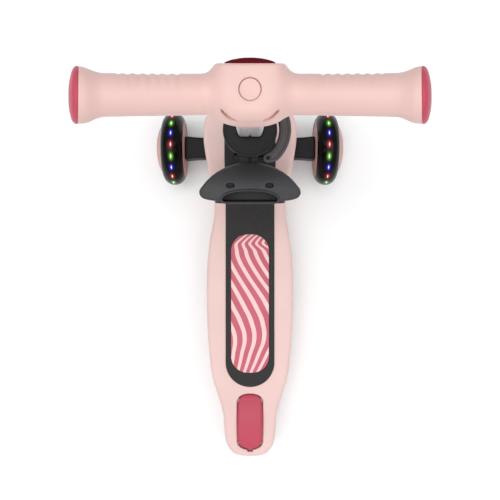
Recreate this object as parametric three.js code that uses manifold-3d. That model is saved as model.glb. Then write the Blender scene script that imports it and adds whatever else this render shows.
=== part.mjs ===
// A toddler's three-wheeled kick scooter: lean-to-steer front truck with two light-up wheels,
// moulded deck, foot brake over the rear wheel, fold-up seat behind the stem, and a
// telescopic T-handlebar held by a quick-release collar.
//
// Lengths are millimetres. +Z is up, +Y is the way the scooter rolls, +X is the rider's right.
// The origin is on the floor, in the middle of the scooter's length and width.

import * as THREE from "three";
import { mergeVertices } from "three/addons/utils/BufferGeometryUtils.js";
import Module from "manifold-3d";

const wasm = await Module();
wasm.setup();

// ---------------------------------------------------------------- driving dimensions

const gap = 0.3; // between pieces that touch
const deg = Math.PI / 180;

const deckTop = 80;
const deckBottom = 44;
const tailEnd = -287;
const noseEnd = 284.5;
// Pockets under the deck: each one's middle and half width.
const pockets = [[-128, 52], [-74, 58], [-20, 60], [34, 58], [88, 50]];
const mat = { halfWidth: 40, from: -167, to: 262, thickness: 2 };
const insert = { halfWidth: 31, from: -143.5, to: 83.5, round: 27 };
const well = { halfWidth: 21.3, from: -273, to: -176.5 }; // over the rear wheel

const frontWheel = { radius: 60, x: 126, y: 227, z: 60, hubRadius: 46.7, halfWidth: 18.5 };
const rearWheel = { radius: 40, y: -226, z: 40, hubRadius: 28, nutAt: 36 };
const bearing = { outer: 11, inner: 4.3, width: 7 };
const axleRadius = 4;

const kingpin = { y: 227, z: 62, tilt: 35 * deg, radius: 4.5 };
const steerSeatRadius = 12;
const cavityCeiling = 98;
const springX = 34;

const stemFoot = { y: 238, z: 100 };
const stemRake = 6.3 * deg;
const columnRadius = 22.5;
const columnBore = 19.2;
const columnTop = 252; // along the stem from its foot
const flange = { from: 35.5, radius: 31, thickness: 3.5 };
const stemScrews = [[-27.4, 0], [27.4, 0], [0, 27.4]];
const tubeWidth = 29.5;
const tubeFoot = 175;
const tubeTop = 540;

const collar = { radius: 33, back: -6, from: 226, to: 268 };
const lever = { inner: 36, outer: 50.5, back: -5, from: 240, to: 254, pinX: 22, pinY: -39 };
const skewerAt = 247;

const hub = { from: 512, to: 571, neck: 490, front: 24.5, rear: -22, halfWidth: 24.5 };
const barAt = 541;
const barRise = 15.2 * deg;
const barSweep = 2.2 * deg;
const gripEnd = 128.8; // along each grip from the stem's axis
const button = { radius: 8.3, recess: 1.2 };
const lens = { radius: 19.7, tilt: 10.1 * deg };

const seat = { y: 134.5, z: 151, length: 149, halfWidth: 67, depth: 54, lean: 6.3 * deg };
const seatHinge = { y: 27, z: 14 }; // in the seat's own frame
const seatPlate = 3;
const seatScrew = { x: 25.5, y: 24 };
const seatBracketAt = 69; // along the stem, level with the seat's hinge

const brake = { crown: 87.5, radius: 117.5, thickness: 3, halfWidth: 18.7 };
const brakeHinge = { y: -183, z: 56, pinRadius: 2.5 };

// ---------------------------------------------------------------- materials

const finish = (color, roughness, metalness = 0) =>
  new THREE.MeshStandardMaterial({ color, roughness, metalness });

const pink = finish(0xf0cdc8, 0.45);
const magenta = finish(0xc8506a, 0.4);
const lensRed = finish(0x7a2f36, 0.25);
const charcoal = finish(0x48453f, 0.8);
const black = finish(0x2b2a2a, 0.5);
const seatBlack = finish(0x413f40, 0.55);
const tyreBlack = finish(0x1d1b1c, 0.25);
const lightStrip = finish(0xe8e8f0, 0.3);
const rubber = finish(0x303030, 0.8);
const aluminium = finish(0xa3a1a1, 0.35, 0.9);
const steel = finish(0xb8b8ba, 0.3, 1);

// ---------------------------------------------------------------- geometry helpers

const vec2 = (x, y) => new THREE.Vector2(x, y);
const points = (pairs) => pairs.map(([x, y]) => vec2(x, y));

function solidOf(geometry) {
  const bare = geometry.clone();
  bare.deleteAttribute("normal");
  bare.deleteAttribute("uv");
  const merged = mergeVertices(bare, 1e-3);
  const corners = merged.index.array;
  const triangles = [];
  for (let i = 0; i < corners.length; i += 3) {
    const [a, b, c] = [corners[i], corners[i + 1], corners[i + 2]];
    if (a !== b && b !== c && c !== a) triangles.push(a, b, c);
  }
  const mesh = new wasm.Mesh({
    numProp: 3,
    vertProperties: new Float32Array(merged.attributes.position.array),
    triVerts: new Uint32Array(triangles),
  });
  return new wasm.Manifold(mesh);
}

function geometryOf(solid) {
  const mesh = solid.getMesh();
  const geometry = new THREE.BufferGeometry();
  geometry.setAttribute("position", new THREE.BufferAttribute(mesh.vertProperties, 3));
  geometry.setIndex(new THREE.BufferAttribute(mesh.triVerts, 1));
  geometry.computeVertexNormals();
  return geometry;
}

const join = (...pieces) => geometryOf(pieces.map(solidOf).reduce((sum, piece) => sum.add(piece)));
const common = (first, second) => geometryOf(solidOf(first).intersect(solidOf(second)));
const cut = (piece, ...tools) =>
  geometryOf(tools.map(solidOf).reduce((rest, tool) => rest.subtract(tool), solidOf(piece)));

const block = (x0, x1, y0, y1, z0, z1) =>
  new THREE.BoxGeometry(x1 - x0, y1 - y0, z1 - z0).translate((x0 + x1) / 2, (y0 + y1) / 2, (z0 + z1) / 2);

// A shape drawn in X and Y, raised from z0 to z1.
const raise = (shape, z0, z1, curveSegments = 8) =>
  new THREE.ExtrudeGeometry(shape, { depth: z1 - z0, bevelEnabled: false, curveSegments }).translate(0, 0, z0);

// The same with rounded rims that stay inside the drawn shape.
const raiseRounded = (shape, z0, z1, round, steps, curveSegments = 8) =>
  new THREE.ExtrudeGeometry(shape, {
    depth: z1 - z0 - 2 * round,
    bevelThickness: round,
    bevelSize: round,
    bevelOffset: -round,
    bevelSegments: steps,
    curveSegments,
  }).translate(0, 0, z0 + round);

// A shape drawn in Y and Z, pushed across from x0 to x1.
const across = (shape, x0, x1, curveSegments = 8) =>
  new THREE.ExtrudeGeometry(shape, { depth: x1 - x0, bevelEnabled: false, curveSegments })
    .applyMatrix4(new THREE.Matrix4().makeBasis(
      new THREE.Vector3(0, 1, 0), new THREE.Vector3(0, 0, 1), new THREE.Vector3(1, 0, 0)))
    .translate(x0, 0, 0);

// A turned piece from [radius, height] pairs, with its outside walked upwards.
const turnZ = (pairs, segments = 24) => new THREE.LatheGeometry(points(pairs), segments).rotateX(Math.PI / 2);
const turnX = (pairs, segments = 24) => new THREE.LatheGeometry(points(pairs), segments).rotateZ(-Math.PI / 2);
const closed = (pairs) => [...pairs, pairs[0]];

const rodZ = (radius, z0, z1, sides = 16) =>
  turnZ([[0, z0], [radius, z0], [radius, z1], [0, z1]], sides);
const rodX = (radius, x0, x1, y, z, sides = 16) =>
  turnX([[0, x0], [radius, x0], [radius, x1], [0, x1]], sides).translate(0, y, z);
const ring = (inner, outer, low, high) => closed([[inner, low], [outer, low], [outer, high], [inner, high]]);

function outline(pairs) {
  return new THREE.Shape(points(pairs));
}

// A rounded rectangle; rear and front corners may differ.
function roundedBox(x0, x1, y0, y1, rearRound, frontRound = rearRound) {
  const shape = new THREE.Shape();
  shape.moveTo(x0 + rearRound, y0);
  shape.lineTo(x1 - rearRound, y0);
  shape.absarc(x1 - rearRound, y0 + rearRound, rearRound, -Math.PI / 2, 0);
  shape.absarc(x1 - frontRound, y1 - frontRound, frontRound, 0, Math.PI / 2);
  shape.absarc(x0 + frontRound, y1 - frontRound, frontRound, Math.PI / 2, Math.PI);
  shape.absarc(x0 + rearRound, y0 + rearRound, rearRound, Math.PI, 1.5 * Math.PI);
  return shape;
}

// A steel coil standing on z = 0.
class Helix extends THREE.Curve {
  constructor(radius, height, turns) {
    super();
    Object.assign(this, { radius, height, turns });
  }
  getPoint(t) {
    const angle = 2 * Math.PI * this.turns * t;
    return new THREE.Vector3(this.radius * Math.cos(angle), this.radius * Math.sin(angle), this.height * t);
  }
}

function coil(radius, wire, height, turns) {
  const path = new Helix(radius, height - 2 * wire, turns);
  const section = new THREE.Shape().absarc(0, 0, wire, 0, 2 * Math.PI);
  const options = { extrudePath: path, steps: 8 * turns, curveSegments: 2, bevelEnabled: false };
  return new THREE.ExtrudeGeometry(section, options).translate(0, 0, wire);
}

// ---------------------------------------------------------------- the assembly

const scooter = new THREE.Group();

const stem = new THREE.Group();
stem.position.set(0, stemFoot.y, stemFoot.z);
stem.rotation.x = stemRake;
stem.updateMatrix();
scooter.add(stem);

const seatFrame = new THREE.Group();
seatFrame.position.set(0, seat.y, seat.z);
seatFrame.rotation.x = seat.lean;
seatFrame.updateMatrix();
scooter.add(seatFrame);

// The kingpin's frame: z runs up the pin from the middle of the truck.
const pinFrame = new THREE.Group();
pinFrame.position.set(0, kingpin.y, kingpin.z);
pinFrame.rotation.x = -kingpin.tilt;
pinFrame.updateMatrix();
scooter.add(pinFrame);

function addPiece(name, geometry, material, frame = scooter) {
  const mesh = new THREE.Mesh(geometry, material.clone());
  mesh.name = name;
  frame.add(mesh);
  return mesh;
}

// A geometry drawn in a frame, moved to the scooter's own coordinates.
const placed = (geometry, frame) => geometry.applyMatrix4(frame.matrix);

// ---------------------------------------------------------------- deck

// Half the deck's plan, from the tail's tip along the right side to the nose.
const deckSide = new THREE.SplineCurve(points([
  [0, tailEnd], [17, -284.5], [30, -276], [39, -260], [42.6, -238], [44.5, -212], [52, -185],
  [62, -152], [68.3, -100], [71.3, -40], [71, 20], [66.5, 72], [59.5, 112], [59.5, 140],
  [65, 180], [71.5, 218], [73, 245], [68, 268], [54, 280], [28, 284], [0, noseEnd],
]));

function deckPlan() {
  const right = deckSide.getSpacedPoints(30);
  const left = right.slice(1, -1).reverse().map((p) => vec2(-p.x, p.y));
  return new THREE.Shape([...right, ...left]);
}

// The deck's top line runs level, climbs to the pod, and crosses the stem square to it.
const podSlope = Math.tan(stemRake);
const podTopAt = (y) => stemFoot.z + flange.from / Math.cos(stemRake) + (y - stemFoot.y) * podSlope - gap;
const rampLine = new THREE.CubicBezierCurve(
  vec2(122, deckTop), vec2(160, deckTop), vec2(168, podTopAt(168)), vec2(206, podTopAt(206)));

function deckSection() {
  const nose = new THREE.CubicBezierCurve(
    vec2(262, podTopAt(262)), vec2(276, podTopAt(276)), vec2(noseEnd + 1, 122), vec2(noseEnd + 1, 92));
  const top = [vec2(-266, deckTop), ...rampLine.getPoints(6), ...nose.getPoints(5)];
  const bottom = points([
    [278, 62], [262, 50], [184, 50], [176, deckBottom], [-186, deckBottom], [-204, 28], [-252, 28],
    [-268, deckBottom], [tailEnd - 1, 54], [tailEnd - 1, 66], [-280, 75],
  ]);
  return new THREE.Shape([...top, ...bottom]);
}

function deckShell() {
  const body = common(raise(deckPlan(), 20, 150), across(deckSection(), -90, 90));
  const wheelSpace = raise(roundedBox(-well.halfWidth, well.halfWidth, well.from, well.to, 12, 3), 0, 120, 4);
  const truckSpace = block(-58, 58, 190, 268, 30, cavityCeiling);
  const armSpace = block(-90, 90, frontWheel.y - 37, frontWheel.y + 37, 30, 93);
  const pinSpace = placed(rodZ(kingpin.radius + gap, 0, 68.5), pinFrame);
  const bushSpace = placed(rodZ(steerSeatRadius, 0, 47), pinFrame);
  const stemSpace = placed(rodZ(columnRadius + gap, 13.7, 60, 20), stem);
  const axleSpace = rodX(axleRadius + gap, -50, 50, rearWheel.y, rearWheel.z);
  const axleEnds = [[-50, -rearWheel.nutAt], [rearWheel.nutAt, 50]].map(([x0, x1]) =>
    rodX(9, x0, x1, rearWheel.y, rearWheel.z));
  const brakePinSpace = rodX(brakeHinge.pinRadius + gap, -28, 28, brakeHinge.y, brakeHinge.z, 12);
  const screwHoles = stemScrews.map((place) => placed(stemScrewHole(place), stem));
  const underside = pockets.map(([y, halfWidth]) =>
    raise(roundedBox(-halfWidth, halfWidth, y - 23, y + 23, 8), 20, deckTop - 5, 2));
  return cut(body, wheelSpace, truckSpace, armSpace, pinSpace, bushSpace, stemSpace, axleSpace,
    ...axleEnds, brakePinSpace, ...screwHoles, ...underside);
}

const stemScrewHole = ([x, y]) => rodZ(2 + gap, 22, 50, 8).translate(x, y, 0);

function stemScrew([x, y]) {
  const seat = flange.from + flange.thickness + gap;
  return join(rodZ(2, 24, seat + 1, 8), rodZ(3, seat, seat + 2.2, 8)).translate(x, y, 0);
}

// The grip mat follows the deck's top, climbs the ramp and goes round the stem's flange.
function gripMat() {
  const lift = (p, up) => vec2(p.x, p.y + up);
  const top = [vec2(-200, deckTop), ...rampLine.getPoints(6), vec2(mat.to, podTopAt(mat.to))];
  const section = new THREE.Shape([
    ...top.map((p) => lift(p, gap)), ...top.map((p) => lift(p, gap + mat.thickness)).reverse()]);
  const plan = roundedBox(-mat.halfWidth, mat.halfWidth, mat.from, mat.to, mat.halfWidth - 1, 22);
  const pad = common(raise(plan, 60, 160, 8), across(section, -60, 60));
  const insertSpace = raise(insertPlan(gap), 60, 100, 6);
  const flangeSpace = placed(rodZ(flange.radius + gap, 0, 60, 20), stem);
  return cut(pad, insertSpace, flangeSpace);
}

function insertPlan(grow) {
  const halfWidth = insert.halfWidth + grow;
  return roundedBox(-halfWidth, halfWidth, insert.from - grow, insert.to + grow, insert.round + grow);
}

function buildDeck() {
  addPiece("deck_shell", deckShell(), pink);
  addPiece("grip_mat", gripMat(), charcoal);
  const sheet = raise(insertPlan(0), deckTop + gap, deckTop + gap + mat.thickness, 6);
  addPiece("patterned_insert", sheet, magenta);
}

// ---------------------------------------------------------------- lean-to-steer truck

function truckBeam() {
  const half = frontWheel.x - 19;
  const right = [[28, -24], [40, -18.5], [66, -17.5], [88, -18], [half, -19.3]];
  const front = right.map(([x, y]) => [x, -y]).reverse();
  const rightSide = [...right, ...front];
  const leftSide = rightSide.map(([x, y]) => [-x, y]).reverse();
  const beam = raiseRounded(outline([...rightSide, ...leftSide]), 46, 78, 3, 2).translate(0, frontWheel.y, 0);
  const pinBore = placed(rodZ(kingpin.radius + gap, -40, 60), pinFrame);
  const seats = [[14, 60], [-60, -14]].map(([z0, z1]) => placed(rodZ(steerSeatRadius, z0, z1), pinFrame));
  const bores = [[-120, -70], [70, 120]].map(([x0, x1]) =>
    rodX(axleRadius + gap, x0, x1, frontWheel.y, frontWheel.z));
  return cut(beam, pinBore, ...seats, ...bores);
}

function buildTruck() {
  addPiece("truck_beam", truckBeam(), black);
  addPiece("kingpin", rodZ(kingpin.radius, -35, 68), steel, pinFrame);
  const bore = kingpin.radius + gap;
  for (const [name, z0, z1] of [["upper", 14 + gap, 46.7], ["lower", -25, -14 - gap]]) {
    const bushing = turnZ(ring(bore, steerSeatRadius - gap, z0, z1), 16);
    addPiece("steer_bushing_" + name, bushing, rubber, pinFrame);
  }
  addPiece("kingpin_nut", hexNut(bore, 8.5, -32, -25 - gap), steel, pinFrame);
  for (const [name, x] of [["centring_spring_left", -springX], ["centring_spring_right", springX]]) {
    const height = cavityCeiling - 78 - 2 * gap;
    addPiece(name, coil(6.5, 1.3, height, 3), steel).position.set(x, frontWheel.y, 78 + gap);
  }
}

function hexNut(bore, reach, z0, z1) {
  return cut(rodZ(reach, z0, z1, 6), rodZ(bore, z0 - 1, z1 + 1, 12));
}

// ---------------------------------------------------------------- wheels

function ballBearing(from) {
  return turnX(ring(bearing.inner, bearing.outer, from, from + bearing.width), 12);
}

// Across a wheel, the crown is an arc between its two sidewalls.
function crown(centre, radius, halfAngle, steps) {
  const pairs = [];
  for (let i = 0; i <= steps; i++) {
    const angle = halfAngle * (2 * i / steps - 1);
    pairs.push([centre + radius * Math.cos(angle), radius * Math.sin(angle)]);
  }
  return pairs;
}

function frontHub() {
  const r = frontWheel.hubRadius;
  const seatBore = bearing.outer + gap;
  return turnX(closed([
    [seatBore, -18.5], [r - 2, -18.5], [r, -16.5], [r, 16], [r - 4.5, 16], [r - 4.5, -14.5], [15.5, -14.5],
    [15.5, 10.5], [seatBore, 10.5], [seatBore, 3.2], [8, 3.2], [8, -10.8], [seatBore, -10.8],
  ]), 24);
}

function frontTyre() {
  const step = frontWheel.hubRadius + gap;
  const ringSpace = step + 3 + gap;
  const w = frontWheel.halfWidth;
  const arc = crown(frontWheel.radius - w, w, 72 * deg, 6);
  return turnX(closed([[step, -17], ...arc, [step, 17], [step, 9.3], [ringSpace, 9.3], [ringSpace, -9.3],
    [step, -9.3]]), 24);
}

function wheelCap() {
  return turnX([
    [0, 26.4], [20, 25.4], [35, 22], [40.5, 16 + gap], [44, 16 + gap],
    [43.2, 19.4], [36, 24.5], [20, 27.8], [0, 28.7],
  ], 24);
}

// Distances along the axle are counted outwards from the wheel's middle plane.
function buildFrontWheel(side, name) {
  const frame = new THREE.Group();
  frame.position.set(side * frontWheel.x, frontWheel.y, frontWheel.z);
  frame.rotation.z = side > 0 ? 0 : Math.PI;
  scooter.add(frame);
  const stripInner = frontWheel.hubRadius + gap;
  addPiece(`front_hub_${name}`, frontHub(), pink, frame);
  addPiece(`front_tyre_${name}`, frontTyre(), tyreBlack, frame);
  addPiece(`light_ring_${name}`, turnX(ring(stripInner, stripInner + 3, -9, 9), 24), lightStrip, frame);
  addPiece(`wheel_cap_${name}`, wheelCap(), pink, frame);
  addPiece(`inner_bearing_${name}`, ballBearing(-11.1 - bearing.width), steel, frame);
  addPiece(`outer_bearing_${name}`, ballBearing(3.5), steel, frame);
  addPiece(`front_axle_${name}`, rodX(axleRadius, -53, 24.5, 0, 0), steel, frame);
  const nut = hexNut(axleRadius + gap, 7.5, 0, 6).rotateY(Math.PI / 2).translate(11, 0, 0);
  addPiece(`front_axle_nut_${name}`, nut, steel, frame);
}

function rearHub() {
  const r = rearWheel.hubRadius;
  const seatBore = bearing.outer + gap;
  return turnX(closed([
    [seatBore, -15.5], [r - 2, -15.5], [r, -14], [r, 14], [r - 2, 15.5], [seatBore, 15.5], [seatBore, 8],
    [8, 8], [8, -8], [seatBore, -8],
  ]), 20);
}

function buildRearWheel() {
  const frame = new THREE.Group();
  frame.position.set(0, rearWheel.y, rearWheel.z);
  scooter.add(frame);
  const inner = rearWheel.hubRadius + gap;
  const arc = crown(rearWheel.radius - 20, 20, 50 * deg, 4);
  addPiece("rear_hub", rearHub(), pink, frame);
  addPiece("rear_tyre", turnX(closed([[inner, -14.5], ...arc, [inner, 14.5]]), 24), tyreBlack, frame);
  addPiece("rear_bearing_left", ballBearing(-8.3 - bearing.width), steel, frame);
  addPiece("rear_bearing_right", ballBearing(8.3), steel, frame);
  const nutInner = rearWheel.nutAt + gap;
  const head = rodZ(7.5, 0, 4.5, 6).rotateY(Math.PI / 2).translate(-nutInner - 4.5, 0, 0);
  addPiece("rear_axle", join(rodX(axleRadius, -37, 41.5, 0, 0), head), steel, frame);
  const nut = hexNut(axleRadius + gap, 7.5, 0, 4.5).rotateY(Math.PI / 2).translate(nutInner, 0, 0);
  addPiece("rear_axle_nut", nut, steel, frame);
  for (const [side, from] of [["left", -well.halfWidth + gap], ["right", 15.5 + gap]]) {
    addPiece("rear_spacer_" + side, turnX(ring(axleRadius + gap, 7, from, from + 5), 12), steel, frame);
  }
}

// ---------------------------------------------------------------- foot brake

// Straight sides and oval ends.
function brakePlan() {
  const shape = new THREE.Shape();
  shape.absellipse(0, -191, brake.halfWidth, 11.7, 0, Math.PI, false);
  shape.absellipse(0, -256.5, brake.halfWidth, 12.8, Math.PI, 2 * Math.PI, false);
  return shape;
}

// A shallow arch over the tyre, with a web at its front end down to the hinge.
function brakeFender() {
  const { radius, thickness, halfWidth } = brake;
  const { y, z } = brakeHinge;
  const section = new THREE.Shape();
  section.absarc(0, 0, radius, 65 * deg, 115 * deg, false);
  section.absarc(0, 0, radius - thickness, 115 * deg, 65 * deg, true);
  const arch = across(section, -halfWidth, halfWidth, 10).translate(0, rearWheel.y, brake.crown - radius);
  const web = block(-halfWidth, halfWidth, y - 4, y + 1, z, 77.5);
  const plate = common(join(arch, web), raise(brakePlan(), 0, 120, 6));
  const barrel = rodX(5, -halfWidth, halfWidth, y, z, 14);
  const bore = rodX(brakeHinge.pinRadius + gap, -30, 30, y, z, 12);
  const springSpace = block(-6.5, 6.5, y - 6, y + 8, z - 8, z + 5.5);
  return cut(join(plate, barrel), bore, springSpace);
}

function buildBrake() {
  const { y, z, pinRadius } = brakeHinge;
  addPiece("brake_fender", brakeFender(), magenta);
  addPiece("brake_hinge_pin", rodX(pinRadius, -27.5, 27.5, y, z, 12), steel);
  addPiece("brake_spring", coil(4, 0.8, 11, 3).rotateY(Math.PI / 2).translate(-5.5, y, z), steel);
}

// ---------------------------------------------------------------- stem and quick release

function stemColumn() {
  const flangeTop = flange.from + flange.thickness;
  const body = turnZ(closed([
    [columnBore, 14], [columnRadius, 14], [columnRadius, flange.from], [flange.radius, flange.from],
    [flange.radius, flangeTop], [24, flangeTop], [columnRadius, flangeTop + 4.5],
    [columnRadius, columnTop], [columnBore, columnTop],
  ]), 20);
  const bracketScrewSpace = rodZ(2.5 + gap, 0, 40, 8).rotateX(-Math.PI / 2).translate(0, 0, seatBracketAt);
  return cut(body, ...stemScrews.map(stemScrewHole), bracketScrewSpace);
}

// The telescopic tube is a rounded square with a V groove down its back.
function tubeOutline(width, round, groove) {
  const h = width / 2;
  const shape = roundedBox(-h, h, -h, h, round);
  if (groove) shape.holes.push(roundedBox(-h + 2, h - 2, -h + 4, h - 2, round - 2));
  return shape;
}

function innerTube() {
  const tube = raise(tubeOutline(tubeWidth, 5, true), tubeFoot, tubeTop, 4);
  const h = tubeWidth / 2;
  const groove = raise(outline([[-2, -h - 1], [2, -h - 1], [0, -h + 2]]), tubeFoot - 1, tubeTop + 1);
  return cut(tube, groove);
}

const tubePassage = (from, to) => raise(tubeOutline(tubeWidth + 2 * gap, 5, false), from, to, 4);

function clampCollar() {
  const ringShape = new THREE.Shape().absarc(0, collar.back, collar.radius, 0, 2 * Math.PI);
  const body = raiseRounded(ringShape, collar.from, collar.to, 4, 2, 12);
  const ears = block(-14, 10, -43.5, -30, skewerAt - 10, skewerAt + 10);
  const columnSpace = rodZ(columnRadius + gap, 0, columnTop + gap, 20);
  const slot = block(-2, 2, -60, -10, 0, collar.to - 6);
  const nutSeat = rodX(6.3, -40, -14, lever.pinY, skewerAt, 12);
  const skewerSpace = rodX(3 + gap, -40, 40, lever.pinY, skewerAt, 12);
  const tubeSpace = tubePassage(columnTop, collar.to + 10);
  return cut(join(body, ears), columnSpace, tubeSpace, slot, nutSeat, skewerSpace);
}

function leverPlan() {
  const shape = new THREE.Shape();
  shape.absarc(0, lever.back, lever.outer, 40 * deg, -48 * deg, true);
  shape.lineTo(lever.pinX + 3, lever.pinY - 6);
  shape.absarc(lever.pinX, lever.pinY, 5.8, -90 * deg, -240 * deg, true);
  shape.absarc(0, lever.back, lever.inner, -46 * deg, 40 * deg, false);
  return shape;
}

function clampLever() {
  const body = raiseRounded(leverPlan(), lever.from, lever.to, 2, 1, 7);
  const fork = block(5, 60, -60, -31.5, skewerAt - 3.5, skewerAt + 3.5);
  const pinBore = rodZ(2 + gap, 200, 300, 10).translate(lever.pinX, lever.pinY, 0);
  return cut(body, fork, pinBore);
}

function clampSkewer() {
  const rod = rodX(3, -21, lever.pinX - 2, lever.pinY, skewerAt, 12);
  const eye = rodZ(4.6, skewerAt - 3, skewerAt + 3, 14).translate(lever.pinX, lever.pinY, 0);
  const bore = rodZ(2 + gap, 200, 300, 10).translate(lever.pinX, lever.pinY, 0);
  return cut(join(rod, eye), bore);
}

function buildStem() {
  addPiece("stem_column", stemColumn(), black, stem);
  stemScrews.forEach((place, i) => addPiece(`stem_screw_${i + 1}`, stemScrew(place), steel, stem));
  addPiece("clamp_collar", clampCollar(), black, stem);
  addPiece("clamp_skewer", clampSkewer(), steel, stem);
  const nut = hexNut(3 + gap, 5.6, 0, 5).rotateY(Math.PI / 2).translate(-14 - gap - 5, lever.pinY, skewerAt);
  addPiece("clamp_nut", nut, steel, stem);
  const pin = rodZ(2, lever.from - 0.5, lever.to + 0.5, 10).translate(lever.pinX, lever.pinY, 0);
  addPiece("lever_pin", pin, steel, stem);
  addPiece("clamp_lever", clampLever(), black, stem);
  addPiece("inner_tube", innerTube(), aluminium, stem);
}

// ---------------------------------------------------------------- handlebar

// Turns a piece drawn along +Z so that it lies along one grip, from the stem's axis outwards.
function alongGrip(geometry, side) {
  const direction = new THREE.Vector3(
    side * Math.cos(barRise) * Math.cos(barSweep), -Math.sin(barSweep), Math.sin(barRise)).normalize();
  const turn = new THREE.Quaternion().setFromUnitVectors(new THREE.Vector3(0, 0, 1), direction);
  return geometry.applyQuaternion(turn).translate(0, 0, barAt);
}

function grip(side) {
  return alongGrip(turnZ([
    [0, 0], [20, 0], [20, 22], [16.6, 27], [15.3, 34], [15.8, 113], [19.3, 123],
    [20.3, gripEnd], [0, gripEnd],
  ], 16), side);
}

function hubPlan() {
  return roundedBox(-hub.halfWidth, hub.halfWidth, hub.rear, hub.front, 20, 4.5);
}

const lensFrame = new THREE.Group();
lensFrame.position.set(0, hub.front - 1, barAt);
lensFrame.rotation.x = -Math.PI / 2 + lens.tilt;
lensFrame.updateMatrix();

function handlebar() {
  const body = raiseRounded(hubPlan(), hub.from - 8, hub.to, 4.4, 2, 5);
  const neck = turnZ([[0, hub.neck], [21, hub.neck], [22, 500], [22, 520], [0, 520]], 18);
  const bars = [grip(-1), grip(1)];
  const socket = tubePassage(hub.neck - 5, tubeTop + gap);
  const buttonWell = rodZ(button.radius + 0.4, 560, 600, 18);
  const springWell = rodZ(5.6, 551, 570, 12);
  const gripBores = [-1, 1].map((side) => alongGrip(rodZ(12, 40, gripEnd + 5, 16), side));
  const lensFace = block(-40, 40, -40, 40, 0, 30).applyMatrix4(lensFrame.matrix);
  const lensPocket = rodZ(lens.radius + 0.4, -2, 10, 20).applyMatrix4(lensFrame.matrix);
  return cut(join(body, neck, ...bars), socket, buttonWell, springWell, ...gripBores, lensFace, lensPocket);
}

function endCap(side) {
  return alongGrip(turnZ([
    [0, 114], [12 - gap, 114], [12 - gap, gripEnd + gap], [20.3, gripEnd + gap], [20, 131.2], [17, 133.7],
    [10, 135.3], [0, 135.8],
  ], 16), side);
}

function buildHandlebar() {
  addPiece("handlebar", handlebar(), pink, stem);
  addPiece("end_cap_left", endCap(-1), magenta, stem);
  addPiece("end_cap_right", endCap(1), magenta, stem);
  const lensBody = turnZ([
    [0, -2 + gap], [lens.radius, -2 + gap], [lens.radius, 0.6], [12, 3.3], [0, 4.2]], 20);
  addPiece("hub_lens", lensBody.applyMatrix4(lensFrame.matrix), lensRed, stem);
  const top = hub.to - button.recess;
  addPiece("hub_button", rodZ(button.radius, top - 6, top, 18), pink, stem);
  addPiece("button_spring", coil(4, 0.7, 12, 3).translate(0, 0, 551 + gap), steel, stem);
}

// ---------------------------------------------------------------- fold-up seat

// Seen from its end, the seat is a shallow dome on a flat back.
function seatSection() {
  const w = seat.halfWidth;
  const shape = new THREE.Shape();
  shape.moveTo(-42, seatPlate + gap);
  shape.lineTo(42, seatPlate + gap);
  shape.quadraticCurveTo(w - 8, seatPlate + 1.5, w - 3.5, 8);
  shape.quadraticCurveTo(w + 3, 14, w - 3.5, 22);
  shape.quadraticCurveTo(40, seat.depth - 0.5, 0, seat.depth);
  shape.quadraticCurveTo(-40, seat.depth - 0.5, -w + 3.5, 22);
  shape.quadraticCurveTo(-w - 3, 14, -w + 3.5, 8);
  shape.quadraticCurveTo(-w + 8, seatPlate + 1.5, -42, seatPlate + gap);
  return shape;
}

function seatShell() {
  const body = raiseRounded(seatSection(), 0, seat.length, 3, 1, 5);
  const slotPlan = roundedBox(-34.5, 34.5, seatPlate - 3, 16, 1, 7);
  const fingerSlot = raise(slotPlan, seat.length - 34, seat.length + 5, 3);
  const screwWells = [-1, 1].map((side) =>
    rodZ(4.6, seat.length - 9, seat.length + 5, 14).translate(side * seatScrew.x, seatScrew.y, 0));
  const screwBores = [-1, 1].map((side) =>
    rodZ(2.3, seat.length - 30, seat.length, 8).translate(side * seatScrew.x, seatScrew.y, 0));
  const tongueSpace = block(-13, 13, seatHinge.y - 10.5, 60, -5, seatHinge.z + 10.5);
  const pinSpace = rodX(3 + gap, -34, 34, seatHinge.y, seatHinge.z, 12);
  const hollow = new THREE.Shape(points([[-43, 0], [43, 0], [43, 20]]));
  hollow.quadraticCurveTo(0, 62, -43, 20);
  const hollowSpace = raise(hollow, 34, seat.length - 40, 6);
  return cut(body, fingerSlot, ...screwWells, ...screwBores, tongueSpace, pinSpace, hollowSpace);
}

// A ring round the column with a tongue that reaches back to the seat's hinge.
function seatBracket() {
  const bandShape = new THREE.Shape().absarc(0, 0, 28, 0, 2 * Math.PI);
  const band = placed(raiseRounded(bandShape, seatBracketAt - 15, seatBracketAt + 15, 2, 1, 8), stem);
  const tongue = new THREE.Shape();
  tongue.absarc(seatHinge.y, seatHinge.z, 9.4, 90 * deg, 270 * deg, false);
  tongue.lineTo(80, seatHinge.z - 9.4);
  tongue.lineTo(80, seatHinge.z + 9.4);
  const arm = placed(across(tongue, -12, 12, 6), seatFrame);
  const columnSpace = placed(rodZ(columnRadius + gap, 0, 200, 20), stem);
  const pinSpace = placed(rodX(3 + gap, -34, 34, seatHinge.y, seatHinge.z, 12), seatFrame);
  const screwSpace = placed(
    rodZ(2.5 + gap, 0, 40, 8).rotateX(-Math.PI / 2).translate(0, 0, seatBracketAt), stem);
  return cut(join(band, arm), columnSpace, pinSpace, screwSpace);
}

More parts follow.
